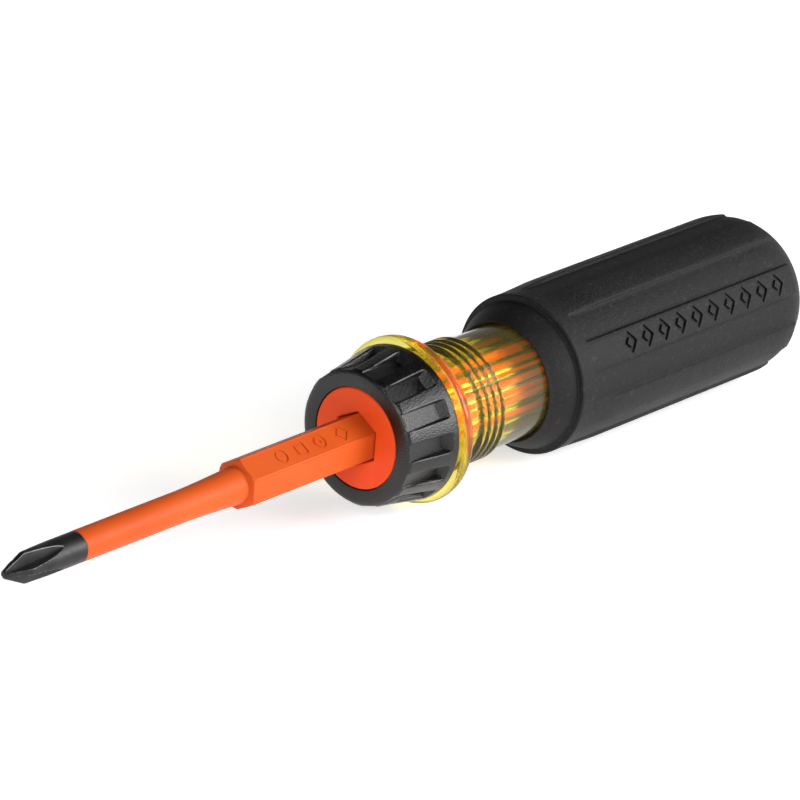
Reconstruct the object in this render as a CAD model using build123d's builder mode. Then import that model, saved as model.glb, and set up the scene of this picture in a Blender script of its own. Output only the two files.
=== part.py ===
from build123d import *
import os
from math import cos, radians, sin, sqrt

os.makedirs("parts", exist_ok=True)

# Insulated screwdriver with a double-ended blade. The blade has a cross tip at one end and a
# flat tip at the other, and a collet and nut in the handle's nose clamp its hexagonal middle.
#
# Millimetres, +Z up. The tool lies level, its axis along X, the cross tip towards -X. The origin
# is on the surface it lies on, under the middle of its length. "Stations" are distances along
# the axis from the cross tip, and "rolls" are angles about the axis from +Z towards +Y.

# ---- driving dimensions ------------------------------------------------------------------
total_length = 214.5            # cross tip to butt
tip_x = -total_length / 2
flange_radius = 16.5            # the widest part; the tool rests on it
axis_z = flange_radius

# blade
blade_length = 200.0            # tip to tip; both ends are exposed alike when flipped
shank_radius = 3.0              # bare steel at each end
bare_length = 18.7              # bare steel, from each tip
neck_radius = 2.0               # steel under the insulation
steel_hex_flats = 5.4           # steel in the hexagonal middle, across flats
layer_thickness = 0.4           # inner insulation layer
hex_start = 61.0                # insulated hexagon, from each tip
hex_flats = 9.0
hex_roll = -6.0                 # roll of one hexagon corner
hex_chamfer = 0.45
hex_chamfer_run = 1.4           # length of the chamfer, times its depth
mark_stations = [70.5, 75.8, 81.0, 87.0]    # shallow moulded marks on one face of the hexagon
mark_depth = 0.2
mark_roll = hex_roll - 30
mark_ring_radii = (1.5, 1.1)    # outer and inner edge of the ring, and of the frame round the disc
mark_disc_radius = 0.5
mark_square_sizes = (2.7, 1.9)  # outer and inner edge of the square frame
mark_square_corners = (0.4, 0.2)
mark_diamond_radii = (1.8, 1.25)
cover_radius = 3.03             # round insulation, just proud of the steel
cover_lead = 0.3                # length over which its end tapers to the steel
flare_start = 45.0              # where the round insulation begins to swell
flare_radius = 3.62             # round insulation where it meets the hexagon
flare_slope = 0.04              # and how steeply it meets it
point_radius = 0.75             # blunt point of the cross tip
point_length = 4.7              # conical part of the cross tip
flute_length = 13.4             # cross tip's flutes run out here
flute_roll = 45.0
flute_half_width = 3.2          # flute walls at their outer edge
flute_depth = 3.1
flute_bottoms = [(-0.5, 0.55), (point_length, 1.0), (9.0, 1.75), (flute_length, 3.02)]
flat_tip_thickness = 1.0
flat_tip_length = 13.0
flat_tip_hollow = 0.5
flat_tip_roll = 0.0
tip_overshoot = 0.5             # how far the cuts run past the flat tip

# collet, nut and their retaining ring
face_station = 93.9             # front face of collet and nut
collet_head_radius = 10.0
collet_head_depth = 1.3         # front step of the head, inside the nut's lip
collet_head_chamfer = 0.25
head_gap = 0.05                 # running gap between the nut's lip and the collet's shoulder
collet_shoulder_radius = 11.0
collet_shoulder_end = 96.4
collet_end = 110.5
collet_front_radius = 8.9       # cone of the collet, large and small end
collet_rear_radius = 7.4
hole_clearance = 0.33           # hexagonal hole in the collet's face, per side
bore_clearance = 0.06           # collet's gripping bore, per side
relief_depth = 2.2              # depth of the wide hexagonal mouth
slit_width = 0.8
slit_start = 98.6
slit_count = 6
slit_radii = (3.0, 12.0)        # from inside the bore to outside the cone
cone_gap = 0.08                 # collet's cone to its seat in the nose
nut_end = 106.4
nut_face_radius = 12.5          # flat front face
nut_front_radius = 13.7         # behind the rounded front corner
nut_corner_depth = 1.5
nut_corner_bulge = 0.32
nut_rear_radius = 15.4
nut_rear_chamfer = 0.5
nut_lip_gap = 0.12
head_clearance = 0.2            # round the collet's shoulder, per side
pocket_count = 14
pocket_roll = -64.3
pocket_width = 3.5
pocket_floor_radius = 13.25
pocket_start = 94.4
pocket_floor_end = 103.5
pocket_end = 104.7
retainer_start = 96.6
retainer_end = 97.5
retainer_inner_radius = 9.6
retainer_outer_radius = 12.6
retainer_gap_angle = 40.0

# thread between nut and nose
pitch = 2.0
thread_start = 98.8             # first turn on the nose; the nut's lies half a pitch behind
nose_thread_end = 105.2
nut_thread_end = 105.4
nose_root_radius = 11.15
thread_depth = 0.85
thread_crest = 0.44             # width of the ridge at its crest and at its root
thread_root = 1.24
thread_sink = 0.15              # how deep the ridge's foot is sunk in the wall
thread_gap = 0.3

# handle core
nose_start = 97.9
flange_start = 106.9
flange_end = 109.3
flange_chamfer = 0.8
flange_fillet = 0.6             # foot of the flange's rear face
core_neck_radius = 11.4
ring_stations = [117.2, 119.1, 121.0, 122.9]
ring_radius = 12.3
ring_land_radius = 11.75
ring_land_reach = 1.0           # how far the raised land runs past the outer rings
ring_bead = 0.6                 # rounding of each ring's crest
core_shoulder = 150.0           # core widens here, inside the grip
core_body_radius = 13.0
core_taper = 2.0                # slope at the shoulder and at the end
core_end = 206.0
bore_radius = 5.35
flute_count = 12                # lengthwise flutes round the core's bore
bore_flute_radius = 1.0
plug_start = 200.6
plug_radius = 7.2
lock_groove_stations = [160.0, 175.0, 190.0]
lock_groove_width = 4.0
lock_groove_depth = 0.8
key_count = 3                   # keys that stop the collet turning in the nose
key_width = 2.0
key_height = 0.8
key_foot_radius = 5.0           # keys and their slots start inside the cone
key_side_gap = 0.1
key_top_gap = 0.15
seat_relief = 1.5               # free space behind the collet
key_start = nose_start + 1.0
key_end = collet_end - 3.0
key_roll = hex_roll + 30

# grip
rib_radius = 16.35              # over the ribs
groove_count = 8
groove_angle = 22.5             # width of each groove; the ribs are as wide
mouth_station = 135.9
mouth_radius = 12.05
cone_end = 140.9
cone_end_radius = 14.7
cone_bulge = 0.25
collar_start = 141.4
collar_radius = 16.0
collar_chamfer = 0.4
groove_start = 145.2
rib_full_station = 153.0        # the ribs rise from the collar to their full radius here
groove_floor_radius = 15.7
dome_radius = 10.0
rib_fall = 0.1                  # slight taper of the ribs towards the butt
rib_bend = 203.5                # the ribs fall away from here
rib_end = 207.4
rib_end_radius = 15.8


# ---- planes and shared shapes --------------------------------------------------------------
AXIS = Axis((tip_x, 0, axis_z), (1, 0, 0))


def profile_plane(roll=0.0):
    """Plane through the axis: local X is the station, local Y the radius towards the roll."""
    a = radians(roll)
    return Plane(origin=(tip_x, 0, axis_z), x_dir=(1, 0, 0), z_dir=(0, -cos(a), sin(a)))


def cross_plane(station, roll=0.0):
    """Plane across the axis, facing the butt: local +Y points at the roll."""
    a = radians(roll)
    return Plane(origin=(tip_x + station, 0, axis_z), x_dir=(0, cos(a), -sin(a)), z_dir=(1, 0, 0))


def turned(*points, arc=360):
    """Turned solid whose half section is a closed outline of (station, radius) points."""
    with BuildPart() as solid:
        with BuildSketch(profile_plane()):
            with BuildLine():
                Polyline(*points, close=True)
            make_face()
        revolve(axis=AXIS, revolution_arc=arc)
    return solid.part


def slab(roll, width, *points):
    """Flat slab that stands on the axis at a roll, its outline in (station, radius) points."""
    with BuildPart() as solid:
        with BuildSketch(profile_plane(roll)):
            with BuildLine():
                Polyline(*points, close=True)
            make_face()
        extrude(amount=width / 2, both=True)
    return solid.part


def hexagon_bar(start, end, flats, chamfer_size=0.0):
    """Hexagonal bar on the axis between two stations, its ends chamfered as if turned."""
    corner = flats / sqrt(3)
    with BuildPart() as bar:
        with BuildSketch(cross_plane(start, hex_roll)):
            RegularPolygon(corner, 6, rotation=90)
        extrude(amount=end - start)
        if chamfer_size:
            low = corner - chamfer_size
            run = hex_chamfer_run * chamfer_size
            add(turned((start, 0), (start, low), (start + run, corner), (end - run, corner),
                       (end, low), (end, 0)), mode=Mode.INTERSECT)
    return bar.part


def cone_radius(station):
    """Radius of the collet's outer cone at a station."""
    share = (station - nose_start) / (collet_end - nose_start)
    return collet_front_radius + (collet_rear_radius - collet_front_radius) * share


def thread_ridge(start_station, end_station, root_radius, crest_radius):
    """One right-hand helical ridge, its root in a wall and its crest in the open."""
    inward = -1 if crest_radius < root_radius else 1
    sunk = root_radius - thread_sink * inward
    flare = (thread_root - thread_crest) / 2 / thread_depth
    base = thread_root / 2 + thread_sink * flare
    crest = thread_crest / 2
    start_x = tip_x + start_station
    with BuildPart() as ridge:
        with BuildLine():
            path = Helix(pitch, end_station - start_station, root_radius, center=(start_x, 0, axis_z),
                         direction=(1, 0, 0))
        start = path @ 0
        outward = (start - Vector(start_x, 0, axis_z)).normalized()
        with BuildSketch(Plane(origin=(start_x, 0, axis_z), x_dir=(1, 0, 0),
                               z_dir=Vector(1, 0, 0).cross(outward))):
            with BuildLine():
                Polyline((-base, sunk), (-crest, crest_radius), (crest, crest_radius), (base, sunk),
                         close=True)
            make_face()
        sweep(path=path, is_frenet=True)
    return ridge.part


def save(part, name):
    part.label = name
    export_step(part, f"parts/{name}.step")


# ---- blade: steel, inner layer, outer cover -------------------------------------------------
steel_hex_start = hex_start + 4
steel_hex_end = blade_length - steel_hex_start
rear_bare = blade_length - bare_length
layer_radius = neck_radius + layer_thickness

with BuildPart() as blade_steel:
    add(turned((0, 0), (0, point_radius), (point_length, shank_radius), (bare_length, shank_radius),
               (bare_length, neck_radius), (rear_bare, neck_radius), (rear_bare, shank_radius),
               (blade_length, shank_radius), (blade_length, 0)))
    add(hexagon_bar(steel_hex_start, steel_hex_end, steel_hex_flats))
    # four V flutes of the cross tip, shallower towards the shank
    for quarter in range(4):
        for station, bottom in flute_bottoms:
            with BuildSketch(cross_plane(station, flute_roll + 90 * quarter)):
                with BuildLine():
                    Polyline((0, bottom), (flute_half_width, bottom + flute_depth),
                             (-flute_half_width, bottom + flute_depth), close=True)
                make_face()
        loft(mode=Mode.SUBTRACT)
    # two hollow slopes of the flat tip
    for side in (0, 180):
        with BuildSketch(profile_plane(flat_tip_roll + side)):
            with BuildLine():
                slope_start = (blade_length - flat_tip_length, shank_radius + 0.2)
                slope_end = (blade_length + tip_overshoot, flat_tip_thickness / 2)
                clear_radius = shank_radius + 1
                SagittaArc(slope_start, slope_end, flat_tip_hollow)
                Polyline(slope_end, (slope_end[0], clear_radius), (slope_start[0], clear_radius),
                         slope_start)
            make_face()
        extrude(amount=clear_radius, both=True, mode=Mode.SUBTRACT)
save(blade_steel.part, "blade_steel")

with BuildPart() as inner_shape:
    add(turned((bare_length, 0), (bare_length, layer_radius), (rear_bare, layer_radius),
               (rear_bare, 0)))
    add(hexagon_bar(steel_hex_start - layer_thickness, steel_hex_end + layer_thickness,
                    steel_hex_flats + 2 * layer_thickness))

with BuildPart() as blade_inner_layer:
    add(inner_shape.part)
    add(blade_steel.part, mode=Mode.SUBTRACT)
save(blade_inner_layer.part, "blade_inner_layer")

hex_end = blade_length - hex_start
rear_flare = blade_length - flare_start
with BuildPart() as blade_cover:
    with BuildSketch(profile_plane()):
        with BuildLine():
            Polyline((bare_length, 0), (bare_length, shank_radius),
                     (bare_length + cover_lead, cover_radius),
                     (flare_start, cover_radius))
            Spline((flare_start, cover_radius), (hex_start, flare_radius),
                   tangents=[(1, 0), (1, flare_slope)])
            Line((hex_start, flare_radius), (hex_end, flare_radius))
            Spline((hex_end, flare_radius), (rear_flare, cover_radius),
                   tangents=[(1, -flare_slope), (1, 0)])
            Polyline((rear_flare, cover_radius), (rear_bare - cover_lead, cover_radius),
                     (rear_bare, shank_radius), (rear_bare, 0), (bare_length, 0))
        make_face()
    revolve(axis=AXIS)
    add(hexagon_bar(hex_start, hex_end, hex_flats, hex_chamfer))
    add(inner_shape.part, mode=Mode.SUBTRACT)
    # four plain sunk marks: a ring, a square frame, a ringed disc and a diamond frame
    mark_plane = Plane(origin=(tip_x, 0, axis_z), x_dir=(1, 0, 0),
                       z_dir=(0, sin(radians(mark_roll)), cos(radians(mark_roll))))
    ring_at, square_at, disc_at, diamond_at = mark_stations
    with BuildSketch(mark_plane.offset(hex_flats / 2)):
        with Locations((ring_at, 0)):
            Circle(mark_ring_radii[0])
            Circle(mark_ring_radii[1], mode=Mode.SUBTRACT)
        with Locations((square_at, 0)):
            outer, inner = mark_square_sizes
            RectangleRounded(outer, outer, mark_square_corners[0])
            RectangleRounded(inner, inner, mark_square_corners[1], mode=Mode.SUBTRACT)
        with Locations((disc_at, 0)):
            Circle(mark_ring_radii[0])
            Circle(mark_ring_radii[1], mode=Mode.SUBTRACT)
            Circle(mark_disc_radius)
        with Locations((diamond_at, 0)):
            RegularPolygon(mark_diamond_radii[0], 4)
            RegularPolygon(mark_diamond_radii[1], 4, mode=Mode.SUBTRACT)
    extrude(amount=-mark_depth, mode=Mode.SUBTRACT)
save(blade_cover.part, "blade_cover")

# ---- collet: head in the nut's mouth, slit cone in the nose's seat --------------------------
head_end = face_station + collet_head_depth
shoulder_station = head_end + head_gap
with BuildPart() as clamp_collet:
    add(turned((face_station, 0), (face_station, collet_head_radius - collet_head_chamfer),
               (face_station + collet_head_chamfer, collet_head_radius),
               (shoulder_station, collet_head_radius),
               (shoulder_station, collet_shoulder_radius), (collet_shoulder_end, collet_shoulder_radius),
               (collet_shoulder_end, collet_front_radius), (nose_start, collet_front_radius),
               (collet_end, collet_rear_radius), (collet_end, 0)))
    for key in range(key_count):
        key_top = collet_front_radius + key_height
        add(slab(key_roll + key * 360 / key_count, key_width, (key_start, key_foot_radius),
                 (key_start, key_top), (key_end, key_top), (key_end, key_foot_radius)))
    add(hexagon_bar(face_station, collet_end, hex_flats + 2 * bore_clearance), mode=Mode.SUBTRACT)
    add(hexagon_bar(face_station - 1, face_station + relief_depth, hex_flats + 2 * hole_clearance),
        mode=Mode.SUBTRACT)
    for slit in range(slit_count):
        low, high = slit_radii
        add(slab(hex_roll + slit * 360 / slit_count, slit_width, (slit_start, low), (slit_start, high),
                 (collet_end + 1, high), (collet_end + 1, low)), mode=Mode.SUBTRACT)
save(clamp_collet.part, "clamp_collet")

# ---- locking nut ----------------------------------------------------------------------------
nut_bore_radius = nose_root_radius + thread_depth + thread_gap
lip_radius = collet_head_radius + nut_lip_gap
head_pocket_radius = collet_shoulder_radius + head_clearance
with BuildPart() as locking_nut:
    with BuildSketch(profile_plane()):
        with BuildLine():
            corner_start = (face_station, nut_face_radius)
            corner_end = (face_station + nut_corner_depth, nut_front_radius)
            Polyline((nut_end, nut_bore_radius), (retainer_end, nut_bore_radius),
                     (retainer_end, retainer_outer_radius), (retainer_start, retainer_outer_radius),
                     (retainer_start, head_pocket_radius), (head_end, head_pocket_radius),
                     (head_end, lip_radius), (face_station, lip_radius), corner_start)
            SagittaArc(corner_start, corner_end, nut_corner_bulge)
            Polyline(corner_end, (nut_end - nut_rear_chamfer, nut_rear_radius),
                     (nut_end, nut_rear_radius - nut_rear_chamfer), (nut_end, nut_bore_radius))
        make_face()
    revolve(axis=AXIS)
    for pocket in range(pocket_count):
        outside = nut_rear_radius + nut_rear_chamfer
        add(slab(pocket_roll + pocket * 360 / pocket_count, pocket_width,
                 (pocket_start, pocket_floor_radius), (pocket_floor_end, pocket_floor_radius),
                 (pocket_end, outside), (pocket_start, outside)), mode=Mode.SUBTRACT)
    add(thread_ridge(thread_start + pitch / 2, nut_thread_end, nut_bore_radius,
                     nose_root_radius + thread_gap))
save(locking_nut.part, "locking_nut")

with BuildPart() as collet_retainer:
    add(turned((retainer_start, retainer_inner_radius), (retainer_start, retainer_outer_radius),
               (retainer_end, retainer_outer_radius), (retainer_end, retainer_inner_radius),
               arc=360 - retainer_gap_angle))
save(collet_retainer.part, "collet_retainer")

# ---- handle core ----------------------------------------------------------------------------
seat_front = cone_radius(nose_start) + cone_gap
seat_rear = cone_radius(collet_end) + cone_gap
seat_end = collet_end + seat_relief
first_ring = ring_stations[0]
last_ring = ring_stations[-1]
land_start = first_ring - ring_land_reach
land_end = last_ring + ring_land_reach
with BuildPart() as core_outside:
    add(turned((nose_start, 0), (nose_start, nose_root_radius), (flange_start, nose_root_radius),
               (flange_start, flange_radius - flange_chamfer),
               (flange_start + flange_chamfer, flange_radius),
               (flange_end - flange_chamfer, flange_radius),
               (flange_end, flange_radius - flange_chamfer),
               (flange_end, core_neck_radius + flange_fillet),
               (flange_end + flange_fillet, core_neck_radius),
               (core_shoulder, core_neck_radius), (core_shoulder + core_taper, core_body_radius),
               (core_end - core_taper, core_body_radius), (core_end, core_body_radius - core_taper),
               (core_end, 0)))
    add(turned((land_start, bore_radius), (land_start, core_neck_radius),
               (first_ring - ring_bead, ring_land_radius), (last_ring + ring_bead, ring_land_radius),
               (land_end, core_neck_radius), (land_end, bore_radius)))
    with BuildSketch(profile_plane()):
        with Locations(*[(station, ring_radius - ring_bead) for station in ring_stations]):
            Circle(ring_bead)
    revolve(axis=AXIS)
    with BuildSketch(profile_plane()):
        with Locations(*[(station, core_body_radius) for station in lock_groove_stations]):
            Rectangle(lock_groove_width, 2 * lock_groove_depth)
    revolve(axis=AXIS, mode=Mode.SUBTRACT)

with BuildPart() as handle_core:
    add(core_outside.part)
    add(turned((nose_start - 1, 0), (nose_start - 1, seat_front), (nose_start, seat_front),
               (collet_end, seat_rear), (seat_end, seat_rear), (seat_end, bore_radius),
               (plug_start, bore_radius), (plug_start, plug_radius), (core_end + 1, plug_radius),
               (core_end + 1, 0)), mode=Mode.SUBTRACT)
    with BuildSketch(cross_plane(seat_end, hex_roll)):
        with PolarLocations(bore_radius, flute_count, start_angle=15):
            Circle(bore_flute_radius)
    extrude(amount=plug_start - seat_end, mode=Mode.SUBTRACT)
    for key in range(key_count):
        slot_top = collet_front_radius + key_height + key_top_gap
        add(slab(key_roll + key * 360 / key_count, key_width + 2 * key_side_gap,
                 (nose_start - 1, key_foot_radius), (nose_start - 1, slot_top),
                 (seat_end, slot_top), (seat_end, key_foot_radius)), mode=Mode.SUBTRACT)
    add(thread_ridge(thread_start, nose_thread_end, nose_root_radius,
                     nose_root_radius + thread_depth))
save(handle_core.part, "handle_core")

with BuildPart() as bore_plug:
    add(turned((plug_start, 0), (plug_start, plug_radius), (core_end, plug_radius), (core_end, 0)))
save(bore_plug.part, "bore_plug")

# ---- cushion grip ---------------------------------------------------------------------------
dome_start = total_length - dome_radius
with BuildPart() as cushion_grip:
    with BuildSketch(profile_plane()):
        with BuildLine():
            mouth = (mouth_station, mouth_radius)
            cone_top = (cone_end, cone_end_radius)
            Line((mouth_station, 0), mouth)
            SagittaArc(mouth, cone_top, -cone_bulge)
            Polyline(cone_top, (collar_start, cone_end_radius),
                     (collar_start, collar_radius - collar_chamfer),
                     (collar_start + collar_chamfer, collar_radius), (groove_start, collar_radius),
                     (rib_full_station, rib_radius), (rib_bend, rib_radius - rib_fall),
                     (rib_end, rib_end_radius), (rib_end, 0), (mouth_station, 0))
        make_face()
    revolve(axis=AXIS)
    half_groove = groove_angle / 2
    for groove in range(groove_count):
        with BuildSketch(cross_plane(groove_start, groove * 360 / groove_count)):
            with BuildLine():
                floor = CenterArc((0, 0), groove_floor_radius, 90 - half_groove, groove_angle)
                rim = CenterArc((0, 0), rib_radius + 1, 90 - half_groove, groove_angle)
                Line(floor @ 0, rim @ 0)
                Line(floor @ 1, rim @ 1)
            make_face()
        extrude(amount=rib_end - groove_start + 1, mode=Mode.SUBTRACT)
    with BuildSketch(profile_plane()):
        with BuildLine():
            dome_corner = (dome_start, groove_floor_radius)
            dome_end = (total_length, groove_floor_radius - dome_radius)
            Line((dome_start, 0), dome_corner)
            RadiusArc(dome_corner, dome_end, dome_radius)
            Polyline(dome_end, (total_length, 0), (dome_start, 0))
        make_face()
    revolve(axis=AXIS)
    add(core_outside.part, mode=Mode.SUBTRACT)
save(cushion_grip.part, "cushion_grip")
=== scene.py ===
from math import asin, ceil, cos, degrees, pi, radians, sin, sqrt, tan

import bmesh
import bpy
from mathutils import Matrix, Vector


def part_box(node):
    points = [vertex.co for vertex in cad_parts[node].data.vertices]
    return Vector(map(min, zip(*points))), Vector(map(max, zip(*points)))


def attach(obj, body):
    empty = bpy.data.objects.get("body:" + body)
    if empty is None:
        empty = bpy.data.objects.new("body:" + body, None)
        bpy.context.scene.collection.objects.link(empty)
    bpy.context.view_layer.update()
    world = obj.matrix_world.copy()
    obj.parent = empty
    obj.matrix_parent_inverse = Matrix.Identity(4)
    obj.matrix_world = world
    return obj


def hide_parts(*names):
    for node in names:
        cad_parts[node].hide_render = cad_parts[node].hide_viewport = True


# An insulated screwdriver that lies level on a pale surface: cross tip towards -X, butt towards +X.
# Shapes are given as (station, radius) in millimetres, a station being the distance along the axis
# from the cross tip. "Rolls" are angles about the axis, in degrees, from +Z towards +Y.

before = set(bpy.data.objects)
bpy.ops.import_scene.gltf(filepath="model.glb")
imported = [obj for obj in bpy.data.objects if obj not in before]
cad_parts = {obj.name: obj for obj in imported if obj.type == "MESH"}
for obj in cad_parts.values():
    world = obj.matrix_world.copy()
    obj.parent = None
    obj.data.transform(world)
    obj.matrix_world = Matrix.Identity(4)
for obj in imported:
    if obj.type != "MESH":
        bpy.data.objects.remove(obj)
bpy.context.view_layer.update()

MM = 0.001
TIP_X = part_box("blade_steel")[0][0]
AXIS_Z = (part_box("bore_plug")[0][2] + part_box("bore_plug")[1][2]) / 2

# ---- sizes in mm, from the tip to the butt ------------------------------------------------------
# Blade: steel, with a cross tip in front and a flat tip behind
BLADE_LENGTH = 200.0
BARE_LENGTH = 18.7              # bare steel at each end
SHANK = 3.0
POINT = 0.75                    # radius of the cross tip's blunt end
POINT_BEVEL = (0.12, 0.2)       # its chamfer, along and across
POINT_LENGTH = 4.7
POINT_MERGE = 0.15              # run over which the point's cone meets the shank
FLUTE_ROLL = 45.0
FLUTE_HALF_WIDTH = 3.4
FLUTE_HALF_FLOOR = 0.12
FLUTE_HEIGHT = 3.25
FLUTE_BOTTOMS = ((-0.5, 0.55), (POINT_LENGTH, 0.95), (7.0, 1.25), (9.0, 1.58), (11.0, 2.05),
                 (12.3, 2.48), (13.1, 2.86), (13.5, 3.1))
SLOPE_RUN = 13.0                # the flat tip's two slopes
SLOPE_HEIGHT = 3.2
SLOPE_FALL = 2.7
SLOPE_HOLLOW = 0.5
SLOPE_TOP = 4.2
SLOPE_HALF_WIDTH = 4.0
PAST_END = 0.5                  # how far the slope cutters run past the steel
COVERED_RADIUS = 2.0            # steel under the insulation, round and then hexagonal
COVERED_HEX = 5.4 / 2
COVERED_HEX_FILLET = 0.2
COVERED_ROUND_END, COVERED_HEX_START = 64.0, 65.0
# Edge chamfers in paler steel: partly wear, partly a painted highlight along the edges
WEAR_HIGHLIGHT_WIDTH = 0.08
WEAR_HIGHLIGHT_FREE_END = 0.5             # the ends keep plain edges, so that the steel keeps its length
WEAR_HIGHLIGHT_ANGLE = 28

# Blade: orange cover
LAYER = 2.41                    # outside of the inner layer
COVER = 3.03
COVER_EDGE = ((0, LAYER), (0, SHANK - 0.08), (0.05, SHANK), (0.2, COVER))
FLARE_START = 45.0
FLARE = 3.62
FLARE_SLOPE = 0.04
HEX_START = 61.0
HEX_FLATS = 9.0
HEX_FILLET = 0.3
HEX_STEP = 0.12
HEX_CHAMFER = 0.45
HEX_CHAMFER_RUN = 1.4 * HEX_CHAMFER
HEX_ROLL = -6.0
LAYER_HEX_START = HEX_START + 4 - 0.4
LAYER_HEX = 3.3
MARKS = (70.5, 75.8, 81.0, 87.0)
MARK_ROLL = HEX_ROLL - 30
MARK_DEPTH = 0.2

# Collet
FACE = 93.9                     # front of the collet's head and of the nut
COLLET_END = 110.5
HEAD_RADIUS = 10.0
HEAD_EDGE = 0.35
HEAD_END = FACE + 1.35
SHOULDER_RADIUS, SHOULDER_END = 11.0, 96.4
NOSE_START = 97.9
CONE_START_RADIUS, CONE_END_RADIUS = 8.9, 7.4
CONE_TIP_RADIUS = 7.2
HOLE_FILLET = 0.25
HOLE_WIDE, HOLE_TIGHT = HEX_FLATS / 2 + 0.33, HEX_FLATS / 2 + 0.06
HOLE_LEAD = 0.2
HOLE_STEP = 2.2                 # from the face to where the hole narrows
KEY_ROLL = HEX_ROLL + 30
COLLET_KEY = dict(width=2.0, start=98.9, end=107.5, low=6.5, high=9.7)
COLLET_SLIT = dict(width=0.8, start=98.6, end=COLLET_END + 1, low=3.0, high=12.0)

# Thread between the nut and the core's nose
PITCH = 2.0
THREAD_START = 98.8
THREAD_HEIGHT = 0.85
THREAD_CREST = 0.22             # half width of the ridge's top
THREAD_SIDE = 0.40
THREAD_FADE = 0.6

# Locking nut
NUT_END = 106.4
NUT_BORE = 12.3
NUT_BORE_CHAMFER = (0.2, 0.25)  # along and across
NUT_THREAD_FRONT = 98.0
NUT_THREAD_LEAD = 0.4
NUT_BODY_START, NUT_BODY_END = 95.4, 105.9
NUT_FRONT_RADIUS, NUT_REAR_RADIUS = 13.7, 15.4
NUT_FRONT_EDGE = 1.25
NUT_FACE_RADIUS = 12.45
NUT_REAR_EDGE = 0.55
NUT_INSIDE_RADIUS = 13.5        # where the rolls of the inner faces are spaced
POCKETS = 14
POCKET_ROLL = -64.3
POCKET_HALF = 1.75
POCKET_FLOOR = 13.25
POCKET_START, POCKET_FLOOR_END, POCKET_END = 94.4, 103.5, 104.7
POCKET_FRONT = (0.2, 0.1)       # how far its front wall starts before and ends behind its start
POCKET_REACH = 2.15             # half width across which a pocket is sampled finely
POCKET_SAMPLES = (0, 0.7, 1.3, 1.6, 1.69, 1.71, 1.76, 1.80, 1.83, 1.87, 1.92, 1.98, 2.05,
                  POCKET_REACH)
LAND_SAMPLES = 6
WALL_RUN = 0.05                 # half the run of a pocket's steep wall
WALL_SHARE = 0.8                # share of its height that is steep
WALL_ROUNDING = 0.27
NUT_CHAMBER = ((97.5, NUT_BORE), (97.5, 12.6), (96.6, 12.6), (96.6, 11.2), (FACE + 1.3, 11.2),
               (FACE + 1.3, 10.12), (FACE + 0.3, 10.12), (FACE + 0.07, 10.2), (FACE, 10.42))

# Handle core
NOSE_ROOT = 11.15
NOSE_MOUTH = 9.3
NOSE_EDGE = 0.2
NOSE_THREAD = (98.2, 105.6)
FLANGE_START = 106.9
FLANGE_END = 109.3
FLANGE_RADIUS = 16.5
FLANGE_EDGE = 0.95
FLANGE_FRONT_FOOT = 0.3
FLANGE_FRONT_FACE, FLANGE_REAR_FACE = FLANGE_RADIUS - 1.0, FLANGE_RADIUS - 1.2
FLANGE_FOOT = 0.9
NECK = 11.4
RINGS = (117.2, 119.1, 121.0, 122.9)
RING_LAND = 11.75
RING_LAND_REACH = 1.0
RING_LAND_RUN = 0.4
RING_CREST = 12.3
RING_BEAD = 0.6
NECK_SAMPLES = ((111.0, 116.0, 1.0), (116.15, 124.0, 0.1), (124.5, 149.9, 2.5))
BODY_START, BODY_FULL, BODY_TAPER = 150.0, 152.0, 204.0
CORE_BODY = 13.0
CORE_END = 206.0
CORE_END_RADIUS = CORE_BODY - 2
ANCHORS = (160.0, 175.0, 190.0)     # grooves round the core that hold the grip
ANCHOR_HALF = 2.0
ANCHOR_DEPTH = 0.8
ANCHOR_RUN = 0.02
BORE = 5.35
BORE_END = 112.0
BORE_FLUTE = 1.0
BORE_FLUTE_STEP = 30
PLUG_START, PLUG_RADIUS = 200.6, 7.2
SEAT_GAP = 0.08                 # between the collet's cone and its seat
KEYWAY_RADIUS = 9.85
KEYWAY_HALF = 1.1
KEYWAY_EDGE_ROLL = 6.37

# Cushion grip
GAP = 0.02                      # between the core and the grip
MOUTH = 135.9
MOUTH_RADIUS = 12.05
MOUTH_LIP = 0.2
MOUTH_END = 140.9
MOUTH_END_RADIUS = 14.7
MOUTH_CROWN = 0.25
MOUTH_THROAT = ((MOUTH + 0.3, NECK + 0.2), (MOUTH + 0.8, NECK + GAP))
COLLAR_START = 141.4
COLLAR = 16.0
COLLAR_EDGE = 0.35
COLLAR_FLAT = ((143.5, COLLAR), (142.2, COLLAR))
COLLAR_STEP = ((COLLAR_START, 15.3), (COLLAR_START, 14.9), (141.25, 14.72))
RIBS = 8
RIB_STEP = 360 / RIBS
RIB = 16.35
RIB_FULL = 153.0
RIB_END = 207.4
RIB_FALL = 0.1
RIB_BEND = 203.0
RIB_LAST = 15.75
GROOVE_ANGLE = 22.5
GROOVE_FLOOR = 15.7
GROOVE_START = 145.2
GROOVE_WALL = 0.28              # half the run of a groove's side wall
GROOVE_FRONT_WALL = 0.25        # half the run of its front wall
RIB_END_WALL = (0.25, 0.1)      # how far a rib's end wall reaches before and behind its end
LOZENGES = 10
LOZENGE_ROLL = -67.5
LOZENGE_START = 156.5
LOZENGE_PITCH = 5.0
LOZENGE_HALF = (1.95, 2.35)
LOZENGE_INNER = 0.45
LOZENGE_DEPTH = 0.5
LOZENGE_BASE = RIB - 0.04       # the rib's surface there
TOTAL = 214.5
DOME = 10.0
BUTT_FLAT = ((0, 5.4), (0, 2.75), (-0.35, 2.4), (-0.35, 0))    # from its rim to the dimple's middle


# ---- mesh helpers -----------------------------------------------------------------------------
def point(station, radius, roll, across=0.0):
    """World position of a station and a radius at a roll, moved sideways by across."""
    a = radians(roll)
    y = radius * sin(a) + across * cos(a)
    z = radius * cos(a) - across * sin(a)
    return TIP_X + station * MM, y * MM, AXIS_Z + z * MM


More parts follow.
